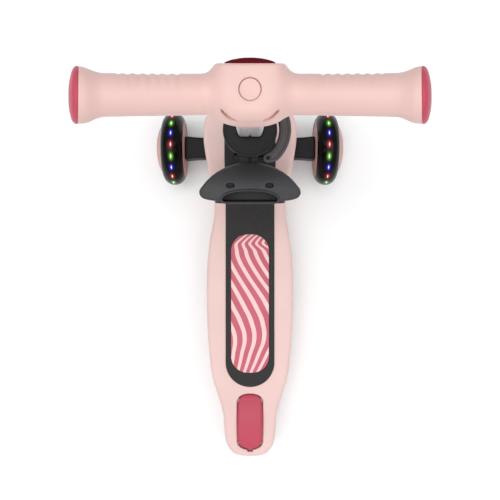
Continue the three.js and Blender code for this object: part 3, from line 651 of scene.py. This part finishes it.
def build_front_wheel(side, name):
    body = f"front_wheel_{name}"
    x, y, z = FRONT_WHEEL_AT
    turn = Matrix.Identity(4) if side > 0 else Matrix.Rotation(math.pi, 4, "Z")
    place = Matrix.Translation((side * x * MM, y * MM, z * MM)) @ turn @ SPIN
    r = FRONT_HUB_RADIUS
    hub = soften([
        (11.3, -18.5), (30, -18.5), (31, -17.3), (r - 6, -17.3), (r - 5, -18.5), (r - 1.4, -18.5), (r, -17),
        (r, 16), (r - 4.5, 16), (r - 4.5, -14.5), (15.5, -14.5), (15.5, 10.5), (11.3, 10.5), (11.3, 3.2),
        (8, 3.2), (8, -10.8), (11.3, -10.8)], 0.8, 3, True)
    # The hub and the dome below take the darker wheel pink, which carries painted shade.
    piece(f"wheel_hub_{name}", turned(hub, 128, True), PINK_WHEEL_SHADED, body,
          [f"front_hub_{name}"], place, 35)
    tyre = [(r + 0.3, -16.4)] + crown(60 - 18.5, 18.5, 74, 36) + [(r + 0.3, 16.4)]
    tyre = np.vstack([tyre, [(r + 0.3, 9.3), (r + 3.6, 9.3), (r + 3.6, -9.3), (r + 0.3, -9.3)]])
    piece(f"wheel_tyre_{name}", turned(tyre, 160, True), TYRES[name], body,
          [f"front_tyre_{name}"], place, 50)
    ring = soften([(r + 0.3, -9), (r + 3.3, -9), (r + 3.3, 9), (r + 0.3, 9)], 0.5, 2, True)
    piece(f"wheel_lamp_ring_{name}", turned(ring, 96, True), STRIP, body,
          [f"light_ring_{name}"], place, 40)
    cap = np.vstack([
        soften([(0, 26.0), (20, 24.9), (34, 21), (39, 16.3), (42.3, 16.3)], 4, 5),
        arc(41.6, 17.3, 1.1, -38, 50, 6),
        spline([(41.2, 18.9), (38, 20.9), (31, 24.3), (20, 27.4), (9, 28.5), (0, 28.7)], 6)])
    piece(f"wheel_dome_{name}", turned(cap, 128), PINK_WHEEL_SHADED, body, [f"wheel_cap_{name}"],
          place, 45)
    for where, at in (("inner", -18.1), ("outer", 3.5)):
        piece(f"{where}_race_{name}", bearing_shape(), STEEL, body, [f"{where}_bearing_{name}"],
              place @ Matrix.Translation((0, 0, at * MM)), 35)


def build_rear_wheel():
    place = Matrix.Translation((0, REAR_AXLE[0] * MM, REAR_AXLE[1] * MM)) @ SPIN
    hub = soften([
        (11.3, -15.5), (13.5, -15.5), (13.5, -13), (22, -13), (22, -15.5), (26, -15.5), (28, -14), (28, 14),
        (26, 15.5), (22, 15.5), (22, 13), (13.5, 13), (13.5, 15.5), (11.3, 15.5), (11.3, 8), (8, 8), (8, -8),
        (11.3, -8)], 0.7, 3, True)
    piece("rear_wheel_hub", turned(hub, 96, True), PINK, "rear_wheel",
          ["rear_hub"], place, 35)
    tyre = [(28.3, -14.5), (31.5, -15)] + crown(20, 20, 47, 24) + [(31.5, 15), (28.3, 14.5)]
    piece("rear_wheel_tyre", turned(tyre, 128, True), REAR_TYRE, "rear_wheel", ["rear_tyre"],
          place, 40)
    for where, at in (("left", -15.3), ("right", 8.3)):
        piece(f"rear_race_{where}", bearing_shape(), STEEL, "rear_wheel",
              [f"rear_bearing_{where}"], place @ Matrix.Translation((0, 0, at * MM)), 35)


# ---------------------------------------------------------------- foot brake

BRAKE_PLAN = brake_outline()
BRAKE_RADIUS, BRAKE_CROWN = 117.5, 87.5
BRAKE_HINGE = (-183, 56)  # y and z


def brake(x, y, z):
    """A shallow arch with skirts, whose web at the front end reaches down to a barrel on the hinge."""
    depth = BRAKE_RADIUS - np.hypot(y - REAR_AXLE[0], z - BRAKE_CROWN + BRAKE_RADIUS)
    ends = np.clip(1 - ((y - REAR_AXLE[0]) / 34) ** 2, 0, 1)
    swell = ends * np.clip((depth - 1.2) / 2.5, 0, 1)
    plan = polygon(x, y, BRAKE_PLAN) - 2.0 * np.maximum(swell, np.clip((depth - 5) / 2, 0, 1))
    plan = np.maximum(plan, slab(y, BRAKE_REAR, BRAKE_FRONT))
    skirt = 3 + 7 * np.clip((36 - np.abs(y - REAR_AXLE[0])) / 6, 0, 1)
    shell = meet(plan, -depth, 2.2)
    shell = np.maximum(shell, depth - skirt)
    hollow = np.maximum(plan + 2.2, 3 - depth)
    arch = cut(shell, hollow, 0.8)
    web = np.maximum(np.maximum(plan + 0.2, -depth), rect(y, z, -187, -182, 54, 90))
    off_hinge = np.hypot(y - BRAKE_HINGE[0], z - BRAKE_HINGE[1])
    barrel = meet(off_hinge - 5, np.abs(x) - BRAKE_HALF, 1)
    body = fuse(fuse(arch, web, 1), barrel, 1.2)
    tab = meet(rect(x, y, -4.2, 4.2, -272, -262, 1.4), slab(depth, 0.8, 3), 0.7)
    body = fuse(body, tab, 0.6)
    body = cut(body, off_hinge - 2.8)
    spring_room = np.maximum(np.abs(x) - 6.5, rect(y, z, -189.5, -174, 47, 61.5))
    return cut(body, spring_room, 0.8)


def build_brake():
    piece("brake_plate", surface(brake, (-22, -276, 48), (22, -175, 90), 0.7), MAGENTA, "brake",
          ["brake_fender"])
    place = Matrix.Translation((-5.5 * MM, BRAKE_HINGE[0] * MM, BRAKE_HINGE[1] * MM)) @ SPIN
    piece("brake_return_spring", coil(4, 0.8, 11, 4), STEEL, "deck", ["brake_spring"], place)


# ---------------------------------------------------------------- stem and quick release

TUBE_WIDTH, TUBE_FOOT, TUBE_TOP = 29.5, 175, 540


def tube_outline(width, steps=8):
    """A rounded square with a V groove in its rear face, walked anticlockwise."""
    h, r = width / 2, 5
    groove = soften([(-2.3, -h), (-2.0, -h), (0, -h + 2), (2.0, -h), (2.3, -h)], 0.35, 2)
    return np.vstack([
        groove, arc(h - r, -h + r, r, -90, 0, steps), arc(h - r, h - r, r, 0, 90, steps),
        arc(-h + r, h - r, r, 90, 180, steps), arc(-h + r, -h + r, r, 180, 270, steps)])


def tube_field(x, y, width):
    return rect(x, y, -width / 2, width / 2, -width / 2, width / 2, 5)


COLUMN_TOP = 252
SKEWER_AT = 247  # up the stem; it and the nut lie on the line y = LEVER_PIN[1]
LEVER_PIN = (22, -39)


def collar(x, y, s):
    """The clamp in the stem's frame: a ring with a shallow step in its top, and two ears behind it."""
    reach = np.hypot(x, y + 6)
    crest = 268 - 2.6 * np.clip((reach - 17) / 16, 0, 1) ** 2 - 0.35 * np.clip((reach - 25) / 1.5, 0, 1)
    body = meet(reach - 33, np.maximum(226 - s, s - crest), 4.0)
    ears = meet(rect(x, y, -14, 10, -43.5, -28, 4), np.abs(s - SKEWER_AT) - 10, 2.5)
    body = fuse(body, ears, 2)
    inside = np.maximum(tube_field(x, y, 30.3), 250 - s)
    column = np.maximum(np.hypot(x, y) - COLUMN_SPACE, s - COLUMN_TOP - 0.3)
    body = cut(body, fuse(inside, column), 1.2)
    body = cut(body, np.maximum(np.abs(x) - 2, np.maximum(y + 20, s - 262)), 0.5)
    off_skewer = np.hypot(y - LEVER_PIN[1], s - SKEWER_AT)
    body = cut(body, np.maximum(off_skewer - 6.3, x + 14), 0.5)
    return cut(body, off_skewer - 3.3)


def collar_key(x, y, s):
    wedge = polygon(x, y, [(-2.2, -17.2), (2.2, -17.2), (0.25, -13.2), (-0.25, -13.2)])
    return meet(wedge, slab(s, 254, 268.4), 0.3)


LEVER_PLAN = np.vstack([
    arc(0, -5, 50.5, 40, -48, 40), [(25, -45)], arc(*LEVER_PIN, 5.8, -90, -240, 14),
    arc(0, -5, 36, -46, 40, 36)])


def lever(x, y, s):
    plan = polygon(x, y, LEVER_PLAN)
    reach = np.hypot(x, y + 5)
    body = meet(plan, slab(s, 240, 254), 2.6)
    dish = np.maximum(np.abs(reach - 43.2) - 3.4, np.maximum(252.9 - s, plan + 3.2))
    body = cut(body, dish, 0.8)
    fork = np.maximum(slab(x, 5, 60), np.maximum(y + 31.5, np.abs(s - SKEWER_AT) - 3.5))
    body = cut(body, fork, 0.6)
    return cut(body, np.hypot(x - LEVER_PIN[0], y - LEVER_PIN[1]) - 2.3)


def build_stem():
    column = soften([
        (19.2, 14), (22.5, 14), (22.5, FLANGE_AT), (31, FLANGE_AT), (31, FLANGE_AT + 3.5),
        (24, FLANGE_AT + 3.5),
        (22.5, FLANGE_AT + 8), (22.5, COLUMN_TOP), (19.2, COLUMN_TOP)], 0.9, 4, True)
    piece("stem_sleeve", turned(column, 96, True), BLACK, "deck", ["stem_column"], STEM, 35)
    piece("tube_clamp", surface(collar, (-35, -46, 224), (35, 29, 270), 0.75), BLACK, "deck",
          ["clamp_collar"], STEM)
    piece("tube_key", surface(collar_key, (-3, -21, 252), (3, -12, 269), 0.3), BLACK, "deck",
          [], STEM)
    piece("quick_lever", surface(lever, (12, -48, 238), (52, 33, 256), 0.6), LEVER, "clamp_lever",
          ["clamp_lever"], STEM)
    piece("telescopic_tube", raised(tube_outline(TUBE_WIDTH), TUBE_FOOT, TUBE_TOP, 0.5), TUBE, "handlebar",
          ["inner_tube"], STEM, 25)


# ---------------------------------------------------------------- handlebar

BAR_AT = 541  # up the stem
RISE, SWEEP = math.radians(15.2), math.radians(2.2)
ALONG = np.array([math.cos(RISE) * math.cos(SWEEP), -math.sin(SWEEP), math.sin(RISE)])
ALONG /= np.linalg.norm(ALONG)
GRIP_PROFILE = spline([
    (0, 20), (12, 20), (21, 19.4), (27, 16.9), (33, 15.5), (42, 15.3), (60, 15.4), (90, 15.5), (106, 15.6),
    (113, 15.9), (118, 17.3), (123, 19.4), (126, 20.1), (131, 20.4)], 6)
GRIP_END, END_SLANT = 128.8, 0.075  # the grips' ends are cut a little off square
LENS_Y = 23.5
LENS_TILT = math.radians(10.1)
HUB_PLAN = np.vstack([
    arc(4.5, -2, 20, -90, 0, 12), arc(20, 20, 4.5, 0, 90, 6), arc(-20, 20, 4.5, 90, 180, 6),
    arc(-4.5, -2, 20, 180, 270, 12)])


def handlebar(x, y, s):
    ax = np.abs(x)
    h = s - BAR_AT
    t = ax * ALONG[0] + y * ALONG[1] + h * ALONG[2]
    rho = np.sqrt(np.maximum(ax * ax + y * y + h * h - t * t, 1e-6))
    radius = np.interp(t, GRIP_PROFILE[:, 0], GRIP_PROFILE[:, 1])
    ribs = np.clip((t - 50) / 6, 0, 1) * np.clip((104 - t) / 6, 0, 1) * np.clip(y / rho + 0.15, 0, 1)
    radius = radius + 0.5 * ribs * (np.cos(2 * math.pi * (t - 53) / 7.25) - 1)
    bar = meet((rho - radius) * 0.96, t - GRIP_END + END_SLANT * y, 0.7)
    bar = np.maximum(bar, -t - 4)
    hub = meet(polygon(x, y, HUB_PLAN), slab(s, 504, 571), 9.0)
    neck = meet(np.hypot(x, y) - np.interp(s, [490, 500, 530], [20.8, 22, 22]), slab(s, 490, 530), 1.5)
    body = fuse(fuse(hub, bar, 13), neck, 3)
    face = (y - LENS_Y) * math.cos(LENS_TILT) + h * math.sin(LENS_TILT)
    drop = (y - LENS_Y) * math.sin(LENS_TILT) - h * math.cos(LENS_TILT)
    body = meet(body, face, 2.0)
    body = cut(body, np.maximum(np.hypot(x, drop) - 20.1, -2 - face), 0.8)
    body = cut(body, np.maximum(np.hypot(x, y) - 8.3, 560 - s), 0.9)
    body = cut(body, capsule((ax, y, s), (18.4, -14.4, 563.5), (12.2, -20.2, 561), 3.1), 1.0)
    body = cut(body, np.maximum(tube_field(x, y, 30.1), s - TUBE_TOP - 0.3))
    bore = np.maximum(rho - 12, 40 - t)
    return cut(body, bore, 0.6)


def along_grip(side):
    direction = Vector((side * ALONG[0], ALONG[1], ALONG[2]))
    turn = Vector((0, 0, 1)).rotation_difference(direction).to_matrix().to_4x4()
    return STEM @ Matrix.Translation((0, 0, BAR_AT * MM)) @ turn


def build_handlebar():
    piece("bar_moulding", surface(handlebar, (-134, -26, 488), (134, 27, 599), 0.95), PINK_BAR,
          "handlebar", ["handlebar"], STEM)
    cap = np.vstack([
        soften([(0, 114), (11.7, 114), (11.7, GRIP_END + 0.3), (20.1, GRIP_END + 0.3)], 0.5, 3),
        arc(19.4, GRIP_END + 1.4, 1.1, -30, 40, 5),
        spline([(20.1, 131.2), (18.6, 132.7), (15.5, 134.0), (10, 135.2), (5, 135.7), (0, 135.8)], 5)])
    points, faces = turned(cap, 96)
    for side, name in ((-1, "left"), (1, "right")):
        slanted = points - np.outer(points @ [0, END_SLANT, 0], [0, 0, 1])
        piece(f"bar_end_{name}", (slanted, faces), MAGENTA, "handlebar",
              [f"end_cap_{name}"], along_grip(side), 40)
    lens_place = STEM @ Matrix.Translation((0, LENS_Y * MM, BAR_AT * MM)) @ Matrix.Rotation(
        -math.pi / 2 + LENS_TILT, 4, "X")
    glass = np.vstack([[(0, -1.7), (19, -1.7), (19.7, -1.0)], spline([
        (19.7, 0.2), (19.1, 0.9), (15, 2.4), (9, 3.6), (4, 4.1), (0, 4.2)], 6)])
    piece("hub_badge_lens", turned(glass, 96), LENS, "handlebar", ["hub_lens"], lens_place, 40)
    top = 569.8
    rim = [(0, top - 6), (8.0, top - 6), (8.0, top), (6.9, top), (5.6, top - 0.35)]
    button = np.vstack([soften(rim, 0.7, 4), [(3, top - 0.45), (0, top - 0.5)]])
    piece("hub_push_button", turned(button, 72), PINK_BAR, "hub_button",
          ["hub_button"], STEM, 40)
    piece("button_coil", coil(4, 0.7, 12, 4), STEEL, "handlebar", ["button_spring"],
          STEM @ Matrix.Translation((0, 0, 0.5513)))


# ---------------------------------------------------------------- fold-up seat

SEAT_LENGTH, SEAT_DEPTH = 149, 54
SEAT_HINGE = (27, 14)  # y and z in the seat's frame
SEAT_OUTLINE = quadratics(
    (-42, 3.3), ((0, 3.3), (42, 3.3)), ((59, 4.5), (63.5, 8)), ((70, 14), (63.5, 22)),
    ((40, SEAT_DEPTH - 0.5), (0, SEAT_DEPTH)), ((-40, SEAT_DEPTH - 0.5), (-63.5, 22)),
    ((-70, 14), (-63.5, 8)), ((-59, 4.5), (-42, 3.3)))

SEAT_MOUTH = quadratics(
    (-31, 2.6), ((0, 2.3), (31, 2.6)), ((36.5, 3.2), (36, 6.2)), ((32, 13.5), (14, 15.4)),
    ((0, 16.4), (-14, 15.4)), ((-32, 13.5), (-36, 6.2)), ((-36.5, 3.2), (-31, 2.6)))


def seat(x, y, z):
    section = polygon(x, y, SEAT_OUTLINE)
    fall = 16 * np.clip((y - 17) / 37, 0, 2) ** 2 + 5 * (x / 67) ** 4
    ends = np.maximum((z - SEAT_LENGTH + fall) * 0.86, -z)
    body = meet(section, ends, 3.0)
    slot_plan = polygon(x, y, SEAT_MOUTH)
    lip = np.hypot(slot_plan - 1.0, z - SEAT_LENGTH - 0.2) - 1.7
    body = fuse(body, lip, 0.6)
    body = cut(body, np.maximum(slot_plan, SEAT_LENGTH - 34 - z), 0.9)
    oval = np.hypot((np.abs(x) - 25.5) / 5.2, (y - 24) / 3.3) - 1
    body = cut(body, np.maximum(oval * 3.3, SEAT_LENGTH - 9 - z), 0.8)
    tongue = np.maximum(np.abs(x) - 13, np.maximum(16.5 - y, z - 24.5))
    return cut(body, tongue, 1.2)


def seat_arm(x, y, z):
    """The bracket, in the row frame: a ring on the column and a tongue back to the hinge."""
    v, w = on_raked(STEM_FOOT, y, z)
    band = meet(np.hypot(x, v) - 28, np.abs(w - 69) - 15, 2.2)
    p, q = on_raked(SEAT_FOOT, y, z)
    tongue = np.hypot(np.minimum(p - SEAT_HINGE[0], 0), q - SEAT_HINGE[1]) - 9.4
    tongue = meet(np.maximum(tongue, p - 90), np.abs(x) - 12, 1.6)
    body = fuse(band, tongue, 3)
    body = cut(body, np.hypot(x, v) - COLUMN_SPACE, 0.5)
    return cut(body, np.hypot(p - SEAT_HINGE[0], q - SEAT_HINGE[1]) - 3.3)


def build_seat():
    piece("seat_moulding", surface(seat, (-70, -1, -2), (70, 57, 152), 1.15), SEAT_SKIN, "seat",
          ["seat_shell"], SEAT)
    x0, x1, z0, z1 = -47, 47, 4, SEAT_LENGTH - 2
    outline = np.vstack([arc(x1 - 16, z0 + 16, 16, -90, 0, 14), arc(x1 - 22, z1 - 26, 22, 0, 60, 12),
                         [(33, z1), (-33, z1)],
                         arc(x0 + 22, z1 - 26, 22, 120, 180, 12), arc(x0 + 16, z0 + 16, 16, 180, 270, 14)])
    stand = Matrix(((-1, 0, 0, 0), (0, 0, 1, 0), (0, 1, 0, 0), (0, 0, 0, 1)))
    piece("seat_base_plate", raised(outline, 0, 3, 0.9, 4), SEAT_SKIN, "seat",
          ["seat_back_plate"], SEAT @ stand, 40)
    piece("seat_arm", surface(seat_arm, (-30, 145, 148), (30, 262, 192), 0.9), BLACK, "deck",
          ["seat_bracket"])


# ---------------------------------------------------------------- carried-over metal and rubber

def finish_hardware():
    # Fasteners that sit in shadow get the near-black steel, painted shade.
    in_shade = ("stem_screw", "clamp_", "lever_pin", "seat_screw", "seat_bracket", "seat_hinge")
    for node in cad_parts.values():
        if node.hide_render:
            continue
        node.data.materials.clear()
        finish = SHADE_BLACK_STEEL if node.name.startswith(in_shade) else STEEL
        node.data.materials.append(BUSH if "bushing" in node.name else finish)


# ---------------------------------------------------------------- studio

def build_studio():
    mesh = bpy.data.meshes.new("studio_floor")
    reach = 6.0
    mesh.from_pydata([(-reach, -reach, 0), (reach, -reach, 0), (reach, reach, 0), (-reach, reach, 0)], [],
                     [(0, 1, 2, 3)])
    floor = bpy.data.objects.new("studio_floor", mesh)
    bpy.context.scene.collection.objects.link(floor)
    g = Graph("floor_paper")
    g.set(Base_Color=g.mix(g.noise(3, 2), srgb(251, 251, 251), srgb(254, 254, 254)), Roughness=0.9,
          Emission_Color=(1, 1, 1, 1), Emission_Strength=0.06)
    g.shader.inputs["Specular IOR Level"].default_value = 0.1
    mesh.materials.append(g.material)

    world = bpy.data.worlds.new("studio")
    bpy.context.scene.world = world
    world.use_nodes = True
    tree = world.node_tree
    sky = tree.nodes["Background"]
    facing = tree.nodes.new("ShaderNodeVectorMath")
    facing.operation = "DOT_PRODUCT"
    facing.inputs[1].default_value = (0, -0.55, 0.83)
    height = tree.nodes.new("ShaderNodeMapRange")
    tree.links.new(tree.nodes.new("ShaderNodeTexCoord").outputs["Generated"], facing.inputs[0])
    tree.links.new(facing.outputs["Value"], height.inputs["Value"])
    for socket, value in (("From Min", -1.0), ("From Max", 1.0), ("To Min", 0.22), ("To Max", 0.56)):
        height.inputs[socket].default_value = value
    tree.links.new(height.outputs[0], sky.inputs["Strength"])
    sky.inputs["Color"].default_value = (0.965, 0.985, 1, 1)

    def soft_light(name, at, aim, width, depth, power):
        light = bpy.data.lights.new(name, "AREA")
        light.shape = "RECTANGLE"
        light.size, light.size_y, light.energy = width, depth, power
        holder = bpy.data.objects.new(name, light)
        bpy.context.scene.collection.objects.link(holder)
        holder.location = at
        holder.rotation_euler = (Vector(aim) - Vector(at)).to_track_quat("-Z", "Y").to_euler()

    soft_light("light_top", (-0.4, 0.3, 6.0), (0, 0.1, 0.2), 3.2, 2.4, 80)
    soft_light("light_rear", (-0.4, -3.2, 5.2), (0, 0, 0.2), 4.4, 2.8, 50)
    soft_light("light_left", (-3.0, 0.1, 5.0), (0, 0.1, 0.2), 3.2, 3.6, 68)
    soft_light("light_right", (3.2, -0.2, 5.0), (0, 0.1, 0.2), 3.2, 3.6, 62)

    camera = bpy.data.cameras.new("camera")
    camera.lens, camera.sensor_width = 46.2, 36
    camera.clip_start, camera.clip_end = 0.05, 50
    holder = bpy.data.objects.new("camera", camera)
    bpy.context.scene.collection.objects.link(holder)
    holder.location = (0, 0.058, 1.135)
    bpy.context.scene.camera = holder
    bpy.context.scene.view_settings.view_transform = "Standard"


build_deck()
build_truck()
build_front_wheel(-1, "left")
build_front_wheel(1, "right")
build_rear_wheel()
build_brake()
build_stem()
build_handlebar()
build_seat()
finish_hardware()
build_studio()
